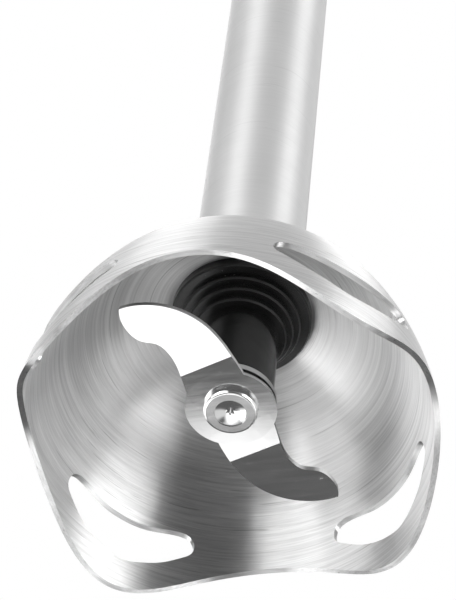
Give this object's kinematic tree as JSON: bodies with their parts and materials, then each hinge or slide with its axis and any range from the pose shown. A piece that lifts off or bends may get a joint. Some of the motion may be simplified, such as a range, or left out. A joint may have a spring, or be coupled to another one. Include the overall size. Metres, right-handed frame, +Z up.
{
  "type": "immersion blender",
  "caption": "Hand-held immersion blender with a motor handle, twist-lock steel foot, wavy-rimmed slotted bell guard and S-shaped blade.",
  "frame": {"origin": "on the drive axis at the plane of the bell's lobe tips, on which the blender stands", "axes": "+Z up along the drive axis from the blade to the handle, -Y towards the side with the buttons"},
  "size_m": [0.0638, 0.0638, 0.3973],
  "materials": {
    "steel_brushed": "brushed stainless steel sheet",
    "steel_ground": "ground and polished stainless steel",
    "steel_bright": "bright turned steel",
    "bronze": "sintered bronze",
    "copper": "enamelled copper wire",
    "core_iron": "varnished electrical steel laminations",
    "die_cast": "die-cast, as cast",
    "black_gloss": "glossy black moulding",
    "black_rubber": "black food-grade rubber",
    "handle_plastic": "fine spark-textured moulding",
    "grip_rubber": "soft-touch overmould",
    "collar_plastic": "fine spark-textured moulding",
    "trim_metal": "polished trim",
    "grey_plastic": "satin grey moulding",
    "nylon": "natural nylon",
    "board": "solder-masked glass laminate",
    "carbon": "carbon brush",
    "brass": "pressed brass",
    "white_mark": "white inlay"
  },
  "bodies": {
    "motor_unit": {"handle_front": "handle_plastic", "handle_back": "handle_plastic", "soft_grip": "grip_rubber", "handle_screws": "steel_bright", "control_pad": "grey_plastic", "control_board": "board", "capacitor": "grey_plastic", "terminal_block": "nylon", "microswitches": "black_gloss", "trim_ring": "trim_metal", "lock_socket": "nylon", "lower_bracket": "die_cast", "bearing_outer": "steel_bright", "splash_seal": "black_rubber", "stator_core": "core_iron", "field_coils": "copper", "upper_bracket": "black_gloss", "motor_bush": "bronze", "brush_holders": "brass", "brushes": "carbon", "brush_springs": "steel_bright", "motor_screws": "steel_bright", "motor_spacers": "steel_bright", "top_cap": "handle_plastic", "cord_gland": "black_rubber", "potentiometer": "grey_plastic"},
    "rotor": {"motor_shaft": "steel_bright", "rotor_core": "core_iron", "rotor_windings": "copper", "insulating_sleeve": "nylon", "commutator": "copper", "fan": "black_gloss", "bearing_inner": "steel_bright", "bearing_balls": "steel_bright", "drive_dog": "nylon"},
    "foot": {"foot_collar": "collar_plastic", "spigot_seal": "black_rubber", "foot_tube": "steel_brushed", "bell": "steel_brushed", "bearing_post": "black_gloss", "post_cap": "steel_ground", "throat_seal": "black_rubber", "lower_bush": "bronze", "lip_seal": "black_rubber", "shaft_guide": "nylon", "bush_carrier": "nylon", "upper_bush": "bronze"},
    "blade_unit": {"drive_shaft": "steel_ground", "blade": "steel_ground", "blade_boss": "steel_ground", "blade_spacer": "steel_ground", "shaft_clip": "steel_bright", "coupler_cup": "black_gloss"},
    "standard_button": {"button_standard": "handle_plastic", "plunger_standard": "nylon"},
    "turbo_button": {"button_turbo": "handle_plastic", "plunger_turbo": "nylon"},
    "dial": {"speed_dial": "grey_plastic", "dial_spindle": "steel_bright", "dial_mark": "white_mark"}
  },
  "joints": [
    {"name": "rotor_spin", "type": "hinge", "parent": "motor_unit", "child": "rotor", "pos_m": [0, 0, 0.25182], "axis": [0, 0, 1], "continuous": true},
    {"name": "blade_spin", "type": "hinge", "parent": "motor_unit", "child": "blade_unit", "pos_m": [0, 0, 0.01112], "axis": [0, 0, 1], "continuous": true},
    {"name": "foot_twist", "type": "hinge", "parent": "motor_unit", "child": "foot", "pos_m": [0, 0, 0.20782], "axis": [0, 0, 1], "range_deg": [0, 35]},
    {"name": "standard_button_press", "type": "slide", "parent": "motor_unit", "child": "standard_button", "axis": [0, 1, 0], "range_m": [0, 0.0018], "stiffness_N_per_m": 900, "springref_m": -0.0015},
    {"name": "turbo_button_press", "type": "slide", "parent": "motor_unit", "child": "turbo_button", "axis": [0, 1, 0], "range_m": [0, 0.0018], "stiffness_N_per_m": 900, "springref_m": -0.0015},
    {"name": "speed_dial_turn", "type": "hinge", "parent": "motor_unit", "child": "dial", "pos_m": [0, -0.00884, 0.38782], "axis": [0, 0, 1], "range_deg": [-135, 135]}
  ],
  "couplings": [
    {"joint": "blade_spin", "follows": "rotor_spin", "ratio": 1}
  ]
}
